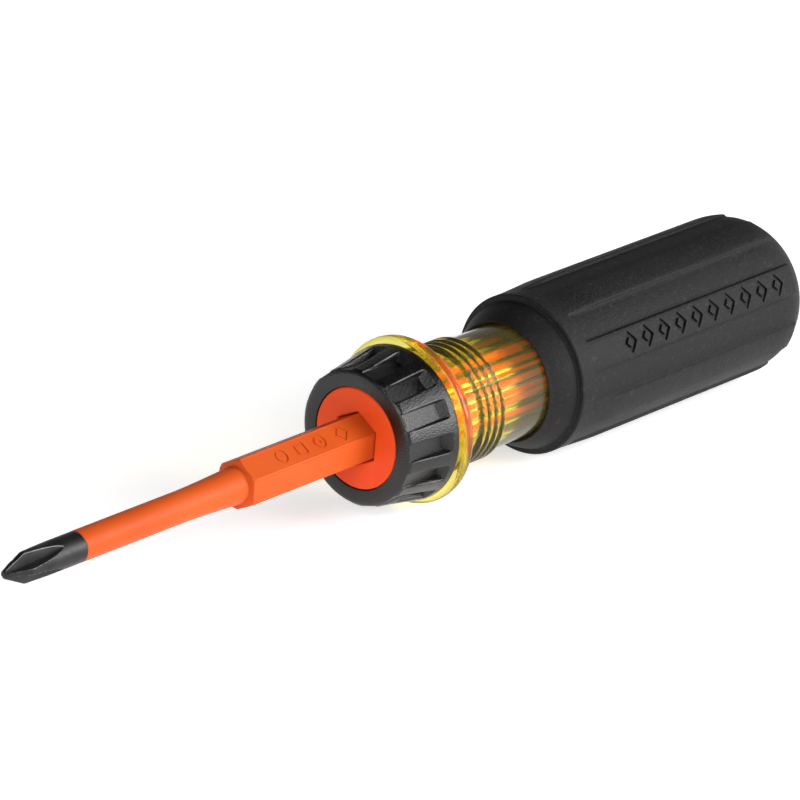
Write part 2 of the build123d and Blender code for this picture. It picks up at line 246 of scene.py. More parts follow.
def steps(start, end, size):
    """Evenly spaced values from start to end, at most size apart, both ends included."""
    count = max(1, ceil(abs(end - start) / size))
    return [start + (end - start) * i / count for i in range(count + 1)]


def smooth(x):
    """Smooth step from 0 to 1."""
    x = min(1.0, max(0.0, x))
    return x * x * (3 - 2 * x)


def arc(centre, radius, start, end, count):
    """Points on an arc in the (station, radius) plane; angles in degrees from the station axis."""
    return [(centre[0] + radius * cos(radians(a)), centre[1] + radius * sin(radians(a)))
            for a in steps(start, end, abs(end - start) / count)]


def circle(radius, count=32):
    """Outline of a circle, or with few points of a regular polygon, with a point on the x axis."""
    turns = [2 * pi * i / count for i in range(count)]
    return [(radius * cos(a), radius * sin(a)) for a in turns]


def rolls_with_edges(edges, plain_step, offsets):
    """Rolls all round, dense near the given edges so that their rounding is smooth."""
    dense = sorted({round((e + o) % 360, 4) for e in edges for o in offsets})
    rolls = []
    for i, roll in enumerate(dense):
        gap = (dense[(i + 1) % len(dense)] - roll) % 360 or 360
        count = max(1, round(gap / plain_step))
        rolls += [roll + gap * k / count for k in range(count)]
    return rolls


def finish_mesh(name, bm):
    """Object with the mesh, its faces turned outwards."""
    bmesh.ops.recalc_face_normals(bm, faces=bm.faces)
    mesh = bpy.data.meshes.new(name)
    bm.to_mesh(mesh)
    bm.free()
    mesh.shade_smooth()
    piece = bpy.data.objects.new(name, mesh)
    bpy.context.scene.collection.objects.link(piece)
    return piece


def skin(name, loops, closed=False, caps=False):
    """Solid skinned over loops of points in order; a loop may be a single point. closed joins the
    last loop to the first, and caps closes both ends with a face."""
    bm = bmesh.new()
    rows = [[bm.verts.new(place) for place in loop] for loop in loops]
    count = max(len(row) for row in rows)
    for low, high in zip(rows, rows[1:] + rows[:1] if closed else rows[1:]):
        for i in range(count):
            j = (i + 1) % count
            corners = [low[i % len(low)], low[j % len(low)], high[j % len(high)], high[i % len(high)]]
            corners = [v for k, v in enumerate(corners) if v not in corners[:k]]
            bm.faces.new(corners)
    if caps:
        bm.faces.new(rows[0])
        bm.faces.new(reversed(rows[-1]))
    return finish_mesh(name, bm)


def round_solid(name, rolls, rings, closed=False):
    """Solid round the axis. A ring is a plain (station, radius), or a function of the roll that gives
    them, and may give its own roll as a third value; (station, 0) is an end point on the axis."""
    loops = []
    for ring in rings:
        if not callable(ring) and ring[1] == 0:
            loops.append([point(*ring, 0)])
            continue
        loop = []
        for roll in rolls:
            station, radius, *own = ring(roll) if callable(ring) else ring
            loop.append(point(station, radius, *(own or [roll])))
        loops.append(loop)
    return skin(name, loops, closed)


def side_prism(name, roll, half_width, outline):
    """Prism with a (station, radius) outline that reaches half_width to both sides of a roll."""
    return skin(name, [[point(s, r, roll, across) for s, r in outline]
                       for across in (-half_width, half_width)], caps=True)


def sunk_mark(station, radius, roll, depth, outline, hole=None):
    """Cutter for a mark sunk into a surface at a radius: a filled outline, or the frame between it
    and a hole with as many points. Outlines are (along the axis, across)."""
    above = 1.0
    if hole:
        levels = ((outline, above), (hole, above), (hole, -depth), (outline, -depth))
    else:
        levels = ((outline, above), (outline, -depth))
    return skin("mark", [[point(station + x, radius + height, roll, y) for x, y in shape]
                         for shape, height in levels], closed=bool(hole), caps=not hole)


def sharpen(piece, angle):
    """Edges sharper than the angle stay crisp; the rest is shaded smooth."""
    piece.data.set_sharp_from_angle(angle=radians(angle))


def cut(piece, cutters, operation="DIFFERENCE"):
    """Cuts (or joins) the cutters into the piece for good, and removes them."""
    for cutter in cutters:
        modifier = piece.modifiers.new("cut", "BOOLEAN")
        modifier.operation = operation
        modifier.solver = "EXACT"
        modifier.object = cutter
    bake(piece)
    for cutter in cutters:
        bpy.data.objects.remove(cutter)


def bake(piece):
    """Makes the piece's modifiers part of its mesh."""
    graph = bpy.context.evaluated_depsgraph_get()
    mesh = bpy.data.meshes.new_from_object(piece.evaluated_get(graph))
    piece.modifiers.clear()
    piece.data = mesh


def hexagon_radius(flat, fillet, roll):
    """Radius of the blade's hexagon at a roll: flat is its half width, and its corners are rounded."""
    a = radians(abs((roll - HEX_ROLL + 30) % 60 - 30))
    straight = flat / cos(radians(30) - a)
    centre = (flat - fillet) / cos(radians(30))
    across = centre * sin(a)
    if across < fillet:
        return min(straight, centre * cos(a) + sqrt(fillet ** 2 - across ** 2))
    return straight


# ---- materials --------------------------------------------------------------------------------
def material(name, **inputs):
    """Principled material; inputs are constants on the shader's own sockets."""
    mat = bpy.data.materials.new(name)
    mat.use_nodes = True
    shader = mat.node_tree.nodes["Principled BSDF"]
    for key, value in inputs.items():
        shader.inputs[key.replace("_", " ")].default_value = value
    return mat


class Nodes:
    """Short names for adding nodes to a material."""

    def __init__(self, mat):
        self.tree = mat.node_tree
        self.shader = self.tree.nodes["Principled BSDF"]
        self.position = self.add("ShaderNodeTexCoord").outputs["Object"]

    def add(self, kind, **settings):
        """Adds a node; settings are its input sockets, or else its own properties."""
        node = self.tree.nodes.new(kind)
        for key, value in settings.items():
            if key in node.inputs:
                node.inputs[key].default_value = value
            else:
                setattr(node, key, value)
        return node

    def link(self, source, target):
        self.tree.links.new(source, target)

    def noise(self, scale, detail=3.0, vector=None):
        node = self.add("ShaderNodeTexNoise", Scale=scale, Detail=detail)
        self.link(vector or self.position, node.inputs["Vector"])
        return node.outputs["Fac"]

    def stretched(self, x, y, z):
        node = self.add("ShaderNodeMapping", Scale=(x, y, z))
        self.link(self.position, node.inputs["Vector"])
        return node.outputs["Vector"]

    def ramp(self, value, *stops):
        """Colour ramp; stops are (position, colour or grey)."""
        node = self.add("ShaderNodeValToRGB")
        for element, (position, color) in zip(node.color_ramp.elements, stops):
            element.position = position
            element.color = (*color, 1) if isinstance(color, tuple) else (color, color, color, 1)
        self.link(value, node.inputs["Fac"])
        return node.outputs["Color"]

    def mix(self, factor, a, b):
        """Mixes two colours; either may be a plain (r, g, b)."""
        node = self.add("ShaderNodeMix", data_type="RGBA")
        for key, value in (("Factor", factor), ("A", a), ("B", b)):
            socket = [s for s in node.inputs if s.name == key and s.enabled][0]
            if isinstance(value, tuple):
                socket.default_value = (*value, 1)
            else:
                self.link(value, socket)
        return [s for s in node.outputs if s.enabled][0]

    def bump(self, *layers):
        """Stacks bumps, each (height, strength, distance in mm)."""
        normal = None
        for height, strength, distance in layers:
            node = self.add("ShaderNodeBump", Strength=strength, Distance=distance * MM)
            self.link(height, node.inputs["Height"])
            if normal:
                self.link(normal, node.inputs["Normal"])
            normal = node.outputs["Normal"]
        self.link(normal, self.shader.inputs["Normal"])

    def color(self, value):
        self.link(value, self.shader.inputs["Base Color"])

    def roughness(self, value):
        self.link(value, self.shader.inputs["Roughness"])


def rubber_material():
    """Black rubber: a fine pebbled skin with paler specks."""
    n = Nodes(mat := material("grip_rubber", Specular_IOR_Level=0.20))
    fine = n.noise(2300, 4)
    speck = n.noise(1100, 2)
    broad = n.noise(60)
    base = n.ramp(broad, (0.3, (0.007, 0.0066, 0.007)), (0.7, (0.013, 0.0122, 0.013)))
    n.color(n.mix(n.ramp(speck, (0.60, 0.0), (0.72, 0.35)), base, (0.050, 0.049, 0.052)))
    n.roughness(n.ramp(broad, (0.3, 0.50), (0.7, 0.62)))
    n.bump((broad, 0.15, 0.3), (n.noise(700), 0.5, 0.15), (fine, 0.9, 0.16))
    return mat


def nut_material():
    """Black moulded plastic with a leather-like grain and a low gloss."""
    n = Nodes(mat := material("nut_plastic"))
    grain = n.noise(3000)
    broad = n.noise(90)
    n.color(n.ramp(n.noise(1500, 2), (0.55, (0.003, 0.003, 0.003)), (0.75, (0.009, 0.009, 0.010))))
    n.roughness(n.ramp(broad, (0.3, 0.19), (0.7, 0.27)))
    n.bump((broad, 0.1, 0.2), (grain, 1.0, 0.12))
    return mat


def orange_material(name, light, dark):
    """Satin orange plastic with faint broad changes of colour and a fine skin."""
    n = Nodes(mat := material(name, Specular_IOR_Level=0.15, Subsurface_Weight=0.06,
                              Subsurface_Scale=0.001))
    broad = n.noise(45)
    fine = n.noise(900)
    n.color(n.mix(n.ramp(broad, (0.35, 0.0), (0.7, 1.0)), dark, light))
    n.roughness(n.ramp(fine, (0.3, 0.40), (0.7, 0.52)))
    n.bump((broad, 0.08, 0.4), (fine, 0.10, 0.03))
    return mat


def steel_material(name, dark, light):
    """Blotched steel with turning marks round the axis."""
    n = Nodes(mat := material(name, Metallic=0.6))
    turning = n.noise(700, vector=n.stretched(6.0, 0.6, 0.6))
    blotch = n.noise(240, 4)
    n.color(n.ramp(blotch, (0.3, dark), (0.7, light)))
    n.roughness(n.ramp(turning, (0.3, 0.34), (0.7, 0.50)))
    n.bump((turning, 0.15, 0.02), (blotch, 0.12, 0.05))
    return mat


def amber_material():
    """Clear plastic that turns yellow with depth; its surface lets shadow rays through."""
    n = Nodes(mat := material("amber_core", Base_Color=(0.97, 0.88, 0.30, 1), IOR=1.38,
                              Transmission_Weight=0.96, Roughness=0.14))
    output = n.tree.nodes["Material Output"]
    volume = n.add("ShaderNodeVolumeAbsorption", Color=(0.90, 0.86, 0.10, 1), Density=140.0)
    n.link(volume.outputs["Volume"], output.inputs["Volume"])
    clear = n.add("ShaderNodeBsdfTransparent", Color=(0.96, 0.86, 0.50, 1))
    through = n.add("ShaderNodeMixShader")
    n.link(n.add("ShaderNodeLightPath").outputs["Is Shadow Ray"], through.inputs[0])
    n.link(n.shader.outputs["BSDF"], through.inputs[1])
    n.link(clear.outputs["BSDF"], through.inputs[2])
    n.link(through.outputs["Shader"], output.inputs["Surface"])
    n.bump((n.noise(120, 2), 0.05, 0.08))
    return mat


def plain_material(name, color, grain):
    """Matte plastic for hidden pieces, mottled at the given noise scale."""
    n = Nodes(mat := material(name))
    noise = n.noise(grain)
    n.color(n.mix(noise, tuple(c * 0.85 for c in color), color))
    n.roughness(n.ramp(noise, (0.3, 0.50), (0.7, 0.62)))
    n.bump((noise, 0.12, 0.05))
    return mat


RUBBER = rubber_material()
NUT = nut_material()
ORANGE = orange_material("orange_insulation", (0.65, 0.100, 0.015), (0.59, 0.079, 0.010))
COLLET = orange_material("orange_collet", (0.80, 0.082, 0.014), (0.74, 0.068, 0.011))
STEEL = steel_material("black_steel", (0.016, 0.015, 0.016), (0.040, 0.039, 0.041))
# Paler steel for the edge chamfers: partly wear, partly a painted highlight that lights up the edges
WORN_AND_HIGHLIGHT = steel_material("worn_and_highlight_steel", (0.11, 0.108, 0.105), (0.28, 0.275, 0.27))
AMBER = amber_material()
INNER = plain_material("inner_layer", (0.86, 0.83, 0.72), 400)
BLACK = plain_material("retainer_plastic", (0.02, 0.02, 0.02), 600)


def dress(piece, mat, body, node):
    """Material, body and the CAD node that the piece stands for."""
    if len(piece.data.materials):
        piece.data.materials[0] = mat
    else:
        piece.data.materials.append(mat)
    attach(piece, body)
    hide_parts(node)


# ---- blade: steel -----------------------------------------------------------------------------
def make_steel():
    """Turned steel with four flutes at the cross tip and two slopes at the flat tip."""
    rear = BLADE_LENGTH - BARE_LENGTH
    bevel_run, bevel_drop = POINT_BEVEL

    def covered_hex(station):
        return lambda roll: (station, hexagon_radius(COVERED_HEX, COVERED_HEX_FILLET, roll))

    rings = [(0, 0), (0, POINT - bevel_drop), (bevel_run, POINT)]
    rings += [(s, POINT + (SHANK - POINT) * s / POINT_LENGTH)
              for s in steps(0.3, POINT_LENGTH - 0.2, 0.3)]
    rings += [(POINT_LENGTH + POINT_MERGE, SHANK)]
    rings += [(s, SHANK) for s in steps(5.2, BARE_LENGTH, 0.4)]
    rings += [(BARE_LENGTH, COVERED_RADIUS), (COVERED_ROUND_END, COVERED_RADIUS),
              covered_hex(COVERED_HEX_START), covered_hex(BLADE_LENGTH - COVERED_HEX_START),
              (BLADE_LENGTH - COVERED_ROUND_END, COVERED_RADIUS), (rear, COVERED_RADIUS)]
    rings += [(s, SHANK) for s in steps(rear, BLADE_LENGTH, 0.5)] + [(BLADE_LENGTH, 0)]
    piece = round_solid("blade_steel_detail", steps(0, 357, 3), rings)
    flutes = [flute_cutter(FLUTE_ROLL + 90 * quarter) for quarter in range(4)]
    cut(piece, flutes + [flat_tip_cutter(side) for side in (0, 180)])
    wear_and_highlight_edges(piece)
    sharpen(piece, 40)
    dress(piece, STEEL, "blade", "blade_steel")


def wear_and_highlight_edges(piece):
    """Narrow chamfers along the steel's outward edges, save at the very ends, in a paler steel that is
    partly wear and partly a painted highlight.
    """
    first = TIP_X + WEAR_HIGHLIGHT_FREE_END * MM
    last = TIP_X + (BLADE_LENGTH - WEAR_HIGHLIGHT_FREE_END) * MM
    bm = bmesh.new()
    bm.from_mesh(piece.data)
    weight = bm.edges.layers.float.new("bevel_weight_edge")
    for edge in bm.edges:
        inside = all(first < v.co.x < last for v in edge.verts)
        if inside and edge.is_manifold and edge.calc_face_angle_signed() > radians(WEAR_HIGHLIGHT_ANGLE):
            edge[weight] = 1.0
    bm.to_mesh(piece.data)
    bm.free()
    piece.data.materials.append(STEEL)
    piece.data.materials.append(WORN_AND_HIGHLIGHT)
    bevel = piece.modifiers.new("edges", "BEVEL")
    bevel.width = WEAR_HIGHLIGHT_WIDTH * MM
    bevel.use_clamp_overlap = False
    bevel.segments = 2
    bevel.limit_method = "WEIGHT"
    bevel.material = 1
    bake(piece)


def flute_cutter(roll):
    """V flute of the cross tip, hollow along its length, that runs out on the shank."""
    section = ((-FLUTE_HALF_WIDTH, FLUTE_HEIGHT), (-FLUTE_HALF_FLOOR, 0.0),
               (FLUTE_HALF_FLOOR, 0.0), (FLUTE_HALF_WIDTH, FLUTE_HEIGHT))
    return skin("flute", [[point(station, bottom + up, roll, across) for across, up in section]
                          for station, bottom in FLUTE_BOTTOMS], caps=True)


def flat_tip_cutter(roll):
    """One hollow slope of the flat tip."""
    start, end = BLADE_LENGTH - SLOPE_RUN, BLADE_LENGTH + PAST_END
    outline = []
    for s in steps(start, end, 0.9):
        t = (s - start) / (end - start)
        outline.append((s, SLOPE_HEIGHT - SLOPE_FALL * t - SLOPE_HOLLOW * 4 * t * (1 - t)))
    outline += [(end, SLOPE_TOP), (start, SLOPE_TOP)]
    return side_prism("slope", roll, SLOPE_HALF_WIDTH, outline)


# ---- blade: orange cover ----------------------------------------------------------------------
def cover_radius(station):
    """Round part of the cover, which swells towards the hexagon."""
    run = HEX_START - FLARE_START
    t = max(0.0, (min(station, BLADE_LENGTH - station) - FLARE_START) / run)
    swell = (FLARE - COVER) * t * t * (3 - 2 * t)
    return COVER + swell + FLARE_SLOPE * run * t * t * (t - 1)


def make_cover():
    """Insulation that is round at both ends and a hexagon between, with marks on one face."""
    corner = HEX_FLATS / sqrt(3) - HEX_CHAMFER

    def hexagon(station, shrink=0.0):
        inside = min(station, BLADE_LENGTH - station) - HEX_START
        limit = corner + HEX_CHAMFER * min(1.0, inside / HEX_CHAMFER_RUN)
        return lambda roll: (station,
                             min(hexagon_radius(HEX_FLATS / 2, HEX_FILLET, roll), limit) - shrink)

    front = [(BARE_LENGTH + run, radius) for run, radius in COVER_EDGE]
    front += [(s, cover_radius(s)) for s in steps(BARE_LENGTH + 0.8, HEX_START - 0.15, 1.0)]
    front += [(HEX_START, FLARE + HEX_STEP)]
    near = [HEX_START + d for d in (0.1, 0.3, 0.5, 0.63, 0.8)]
    hexes = [hexagon(HEX_START, HEX_STEP)] + [hexagon(s) for s in near]
    hexes += [hexagon(s) for s in steps(HEX_START + 1.2, BLADE_LENGTH - HEX_START - 1.2, 1.2)]
    hexes += [hexagon(BLADE_LENGTH - s) for s in reversed(near)]
    hexes += [hexagon(BLADE_LENGTH - HEX_START, HEX_STEP)]
    back = [(BLADE_LENGTH - s, r) for s, r in reversed(front)]
    inside = [(BLADE_LENGTH - LAYER_HEX_START, LAYER), (BLADE_LENGTH - LAYER_HEX_START, LAYER_HEX),
              (LAYER_HEX_START, LAYER_HEX), (LAYER_HEX_START, LAYER)]
    rolls = rolls_with_edges([HEX_ROLL + 60 * k for k in range(6)], 4.0,
                             (-4.0, -3.2, -2.4, -1.6, -0.8, 0, 0.8, 1.6, 2.4, 3.2, 4.0))
    piece = round_solid("blade_cover_detail", rolls, front + hexes + back + inside, closed=True)
    cut(piece, mark_cutters())
    sharpen(piece, 32)
    dress(piece, ORANGE, "blade", "blade_cover")


def mark_cutters():
    """Four plain sunk marks on one face of the hexagon: ring, square frame, target, diamond frame."""
    def square(half, corner):
        quarter = [pi / 2 * k / 3 for k in range(4)]
        return [(x * (half - corner * (1 - cos(t))), y * (half - corner * (1 - sin(t))))
                for x, y in ((1, 1), (-1, 1), (-1, -1), (1, -1))
                for t in (quarter if x == y else reversed(quarter))]

    ring_at, square_at, target_at, diamond_at = MARKS
    marks = ((ring_at, circle(1.5), circle(1.1)),
             (square_at, square(1.35, 0.4), square(0.95, 0.2)),
             (target_at, circle(1.5), circle(1.1)),
             (target_at, circle(0.5, 20), None),
             (diamond_at, circle(1.8, 4), circle(1.25, 4)))
    return [sunk_mark(station, HEX_FLATS / 2, MARK_ROLL, MARK_DEPTH, outline, hole)
            for station, outline, hole in marks]


# ---- collet -----------------------------------------------------------------------------------
def make_collet():
    """Disc-headed collet with a hexagonal hole, a slit cone and three keys."""
    def hole(station, flat):
        return lambda roll: (station, hexagon_radius(flat, HOLE_FILLET, roll))

    outside = arc((FACE + HEAD_EDGE, HEAD_RADIUS - HEAD_EDGE), HEAD_EDGE, 180, 90, 5)
    outside += [(HEAD_END, HEAD_RADIUS), (HEAD_END, SHOULDER_RADIUS),
                (SHOULDER_END, SHOULDER_RADIUS), (SHOULDER_END, CONE_START_RADIUS),
                (NOSE_START, CONE_START_RADIUS)]
    outside += [(s, cone_radius(s)) for s in steps(99.0, COLLET_END - 0.2, 1.2)]
    outside += [(COLLET_END, CONE_TIP_RADIUS)]
    inside = [hole(COLLET_END, HOLE_TIGHT), hole(FACE + HOLE_STEP + 0.1, HOLE_TIGHT),
              hole(FACE + HOLE_STEP, HOLE_WIDE), hole(FACE + HOLE_LEAD, HOLE_WIDE),
              hole(FACE, HOLE_WIDE + HOLE_LEAD)]
    rolls = rolls_with_edges([HEX_ROLL + 60 * k for k in range(6)], 3.0, (-3, -2, -1, 0, 1, 2, 3))
    piece = round_solid("clamp_collet_detail", rolls, outside + inside, closed=True)
    cut(piece, [radial_box(KEY_ROLL + 120 * k, **COLLET_KEY) for k in range(3)], "UNION")
    cut(piece, [radial_box(HEX_ROLL + 60 * k, **COLLET_SLIT) for k in range(6)])
    sharpen(piece, 32)
    dress(piece, COLLET, "collet", "clamp_collet")


def cone_radius(station, gap=0.0):
    """Radius of the collet's cone, or with a gap that of its seat."""
    share = (station - NOSE_START) / (COLLET_END - NOSE_START)
    return CONE_START_RADIUS + (CONE_END_RADIUS - CONE_START_RADIUS) * share + gap


def radial_box(roll, width, start, end, low, high):
    """Box that stands out from the axis at a roll, between two stations and two radii."""
    return side_prism("box", roll, width / 2,
                       [(start, low), (start, high), (end, high), (end, low)])


# ---- thread -----------------------------------------------------------------------------------
def thread_height(station, roll, start, end):
    """Height, 0 to 1, of a right-hand ridge that fades in at start and out at end."""
    phase = (station - THREAD_START + PITCH * roll / 360) / PITCH
    off = abs(phase - round(phase)) * PITCH
    ridge = 1 - smooth((off - THREAD_CREST) / THREAD_SIDE)
    return ridge * smooth((station - start) / THREAD_FADE) * smooth((end - station) / THREAD_FADE)


# ---- locking nut ------------------------------------------------------------------------------
def nut_outside(station):
    """Radius of the nut's widening rim."""
    share = (station - NUT_BODY_START) / (NUT_BODY_END - NUT_BODY_START)
    return NUT_FRONT_RADIUS + (NUT_REAR_RADIUS - NUT_FRONT_RADIUS) * share


RIM_SAMPLES = (95.6, 96.0, *steps(96.6, 102.8, 0.8), 103.3, 103.42,
               *steps(POCKET_FLOOR_END, POCKET_END, 0.2), 104.8, 105.0, 105.3)


def pocket_wall(off):
    """Height, 0 to 1, of a pocket's side wall: steep, then rounded over to the land."""
    if off < WALL_RUN:
        return WALL_SHARE * max(0.0, (off + WALL_RUN) / (2 * WALL_RUN))
    rounding = min(1.0, (off - WALL_RUN) / WALL_ROUNDING)
    return WALL_SHARE + (1 - WALL_SHARE) * sin(pi / 2 * rounding)


def pocket_depth(station, radius, roll):
    """How far a pocket sinks the nut's outside at a place, 0 on a land."""
    sector = 360 / POCKETS
    before, behind = POCKET_FRONT
    if station <= POCKET_START - before or station >= POCKET_END:
        return 0.0
    off = radians(abs((roll - POCKET_ROLL + sector / 2) % sector - sector / 2))
    run_out = max(0.0, station - POCKET_FLOOR_END) / (POCKET_END - POCKET_FLOOR_END)
    floor = POCKET_FLOOR + run_out * (radius - POCKET_FLOOR)
    low = min(radius, floor / cos(off))
    wall = pocket_wall(radius * sin(off) - POCKET_HALF)
    front = smooth((POCKET_START + behind - station) / (before + behind))
    return (radius - low) * (1 - wall) * (1 - front)


def make_nut():
    """Nut with pockets round its rim. Its columns of points follow the pockets' straight walls, so
    a column's parameter is a pocket's number and the share of the way to its walls and beyond."""
    sector = 360 / POCKETS
    half = [y / POCKET_REACH for y in POCKET_SAMPLES]
    half += [1 + k / LAND_SAMPLES for k in range(1, LAND_SAMPLES + 1)]
    params = []
    for k in range(POCKETS):
        params += [(k, -t) for t in reversed(half[1:-1])] + [(k, t) for t in half]

    def placed(param, radius):
        """Roll of a parameter at a radius."""
        k, t = param
        edge = degrees(asin(POCKET_REACH / radius))
        off = degrees(asin(min(1.0, abs(t)) * POCKET_REACH / radius))
        off += max(0.0, abs(t) - 1) * (sector / 2 - edge)
        return POCKET_ROLL + sector * k + (off if t > 0 else -off)

    def outer(station, radius):
        def ring(param):
            roll = placed(param, radius)
            return station, radius - pocket_depth(station, radius, roll), roll
        return ring

    def inner(station, radius):
        return lambda param: (station, radius, placed(param, NUT_INSIDE_RADIUS))

    def threaded(station):
        def ring(param):
            roll = placed(param, NUT_INSIDE_RADIUS)
            middle = PITCH / 2          # the nut's ridges lie between the nose's
            start = THREAD_START + middle - NUT_THREAD_LEAD
            height = thread_height(station + middle, roll, start, NUT_END)
            return station, NUT_BORE - THREAD_HEIGHT * height, roll
        return ring

    rings = [outer(s, r) for s, r in
             arc((FACE + NUT_FRONT_EDGE, NUT_FACE_RADIUS), NUT_FRONT_EDGE, 180, 97, 8)]
    rings += [outer(s, nut_outside(s)) for s in RIM_SAMPLES]
    rear_edge = (NUT_END - NUT_REAR_EDGE, NUT_REAR_RADIUS - NUT_REAR_EDGE)
    rings += [outer(s, r) for s, r in arc(rear_edge, NUT_REAR_EDGE, 90, 0, 5)]
    run, drop = NUT_BORE_CHAMFER
    rings += [inner(NUT_END, NUT_BORE + drop), inner(NUT_END - run, NUT_BORE)]
    rings += [threaded(s) for s in steps(NUT_END - NUT_THREAD_LEAD, NUT_THREAD_FRONT, 0.2)]
    rings += [inner(s, r) for s, r in NUT_CHAMBER]
    piece = round_solid("locking_nut_detail", params, rings, closed=True)
    sharpen(piece, 40)
    dress(piece, NUT, "nut", "locking_nut")


# ---- handle core ------------------------------------------------------------------------------
def neck_ring(station):
    """Place on the neck, which has four beads on a slightly raised land."""
    radius = NECK
    land_start, land_end = RINGS[0] - RING_LAND_REACH, RINGS[-1] + RING_LAND_REACH
    if land_start < station < land_end:
        radius += (RING_LAND - NECK) * min(1.0, (station - land_start) / RING_LAND_RUN,
                                           (land_end - station) / RING_LAND_RUN)
    for ring in RINGS:
        off = abs(station - ring)
        if off < RING_BEAD:
            radius = max(radius, RING_CREST - RING_BEAD + sqrt(RING_BEAD ** 2 - off ** 2))
    return station, radius


def core_outside():
    """Rings from the nose's mouth over the flange and the neck to the core's rear end."""
    def nose(station):
        return lambda roll: (station,
                             NOSE_ROOT + THREAD_HEIGHT * thread_height(station, roll, *NOSE_THREAD))

    rings = [(NOSE_START, NOSE_MOUTH), (NOSE_START, NOSE_ROOT - NOSE_EDGE),
             (NOSE_START + NOSE_EDGE, NOSE_ROOT)]
    rings += [nose(s) for s in steps(*NOSE_THREAD, 0.2)]
    rings += [(FLANGE_START - FLANGE_FRONT_FOOT, NOSE_ROOT),
              (FLANGE_START, NOSE_ROOT + FLANGE_FRONT_FOOT), (FLANGE_START, FLANGE_FRONT_FACE)]
    edge_radius = FLANGE_RADIUS - FLANGE_EDGE
    rings += arc((FLANGE_START + FLANGE_EDGE, edge_radius), FLANGE_EDGE, 175, 90, 8)
    rings += arc((FLANGE_END - FLANGE_EDGE, edge_radius), FLANGE_EDGE, 88, 3, 8)
    rings += [(FLANGE_END, FLANGE_REAR_FACE), (FLANGE_END, NECK + 1.0)]
    rings += arc((FLANGE_END + FLANGE_FOOT, NECK + FLANGE_FOOT), FLANGE_FOOT, 185, 268, 6)
    for start, end, step in NECK_SAMPLES:
        rings += [neck_ring(s) for s in steps(start, end, step)]
    rings += [(BODY_START, NECK), (BODY_FULL, CORE_BODY)]
    for anchor in ANCHORS:
        rings += anchor_rings(anchor)
    return rings + [(BODY_TAPER, CORE_BODY), (CORE_END, CORE_END_RADIUS)]


def anchor_rings(station, gap=0.0):
    """Groove round the core, or with a gap the ridge inside the grip that fills it."""
    top, bottom = CORE_BODY + gap, CORE_BODY - ANCHOR_DEPTH + gap
    wide = ANCHOR_HALF - 2 * gap
    narrow = wide - ANCHOR_RUN
    return [(station - wide, top), (station - narrow, bottom),
            (station + narrow, bottom), (station + wide, top)]


def core_inside():
    """Rings from the plug's seat forward along the fluted bore to the collet's seat."""
    def bore(station):
        def ring(roll):
            half = BORE_FLUTE_STEP / 2
            a = radians((roll - HEX_ROLL + half) % BORE_FLUTE_STEP - half)
            side = BORE * sin(a)
            if abs(side) >= BORE_FLUTE:
                return station, BORE
            return station, max(BORE, BORE * cos(a) + sqrt(BORE_FLUTE ** 2 - side ** 2))
        return ring

    def seat(station, radius):
        def ring(roll):
            off = radians((roll - KEY_ROLL + 60) % 120 - 60)
            in_keyway = abs(off) < pi / 4 and KEYWAY_RADIUS * abs(tan(off)) < KEYWAY_HALF
            return station, KEYWAY_RADIUS if in_keyway else radius
        return ring

    rear = CONE_END_RADIUS + SEAT_GAP
    rings = [(CORE_END, PLUG_RADIUS), (PLUG_START, PLUG_RADIUS)]
    rings += [bore(s) for s in steps(PLUG_START, BORE_END, 8.0)]
    rings += [seat(BORE_END, rear), seat(COLLET_END, rear)]
    rings += [seat(s, cone_radius(s, SEAT_GAP)) for s in steps(108.0, NOSE_START + 0.02, 2.5)]
    return rings + [seat(NOSE_START, CONE_START_RADIUS + SEAT_GAP)]


def make_core():
    """Clear core: threaded nose, guard flange, ringed neck and the part inside the grip."""
    keyway_edges = [KEY_ROLL + 120 * k + side * KEYWAY_EDGE_ROLL
                    for k in range(3) for side in (-1, 1)]
    rolls = rolls_with_edges(keyway_edges, 2.0, (-0.12, 0.12))
    piece = round_solid("handle_core_detail", rolls, core_outside() + core_inside(), closed=True)
    sharpen(piece, 50)
    dress(piece, AMBER, "handle", "handle_core")


# ---- cushion grip -----------------------------------------------------------------------------
def grip_radius(station, roll):
    """Outer radius of the grip, ribs and grooves included, behind its collar."""
    base = GROOVE_FLOOR
    if station > TOTAL - DOME:
        base = GROOVE_FLOOR - DOME + sqrt(max(0.0, DOME ** 2 - (station - TOTAL + DOME) ** 2))
    rise = (RIB - COLLAR) * (station - GROOVE_START) / (RIB_FULL - GROOVE_START)
    top = min(RIB, COLLAR + rise)
    if station > RIB_FULL:
        top = RIB - RIB_FALL * (station - RIB_FULL) / (RIB_END - RIB_FULL)
    if station > RIB_BEND:
        top -= (RIB - RIB_FALL - RIB_LAST) * ((station - RIB_BEND) / (RIB_END - RIB_BEND)) ** 2
    from_groove = abs((roll + RIB_STEP / 2) % RIB_STEP - RIB_STEP / 2)
    off = radians(from_groove - GROOVE_ANGLE / 2) * GROOVE_FLOOR
    share = smooth((off + GROOVE_WALL) / (2 * GROOVE_WALL))
    front = (station - GROOVE_START + GROOVE_FRONT_WALL) / (2 * GROOVE_FRONT_WALL)
    share = 1 - (1 - share) * smooth(front)
    before, behind = RIB_END_WALL
    share *= smooth((RIB_END + behind - station) / (before + behind))
    return base + (top - base) * share


GRIP_SAMPLES = (                # dense where the ribs end and where the grooves start
    208.0, 207.7, 207.5, 207.42, 207.34, 207.26, 207.18, 207.1, 206.9, *steps(206.2, 146.2, 1.5),
    145.8, 145.45, 145.36, 145.28, GROOVE_START, 145.12, 145.04, 144.95, 144.6)


def mouth_cone(station):
    """Radius of the slightly crowned cone at the grip's mouth."""
    t = (station - MOUTH) / (MOUTH_END - MOUTH)
    return MOUTH_RADIUS + (MOUTH_END_RADIUS - MOUTH_RADIUS) * t + 4 * MOUTH_CROWN * t * (1 - t)


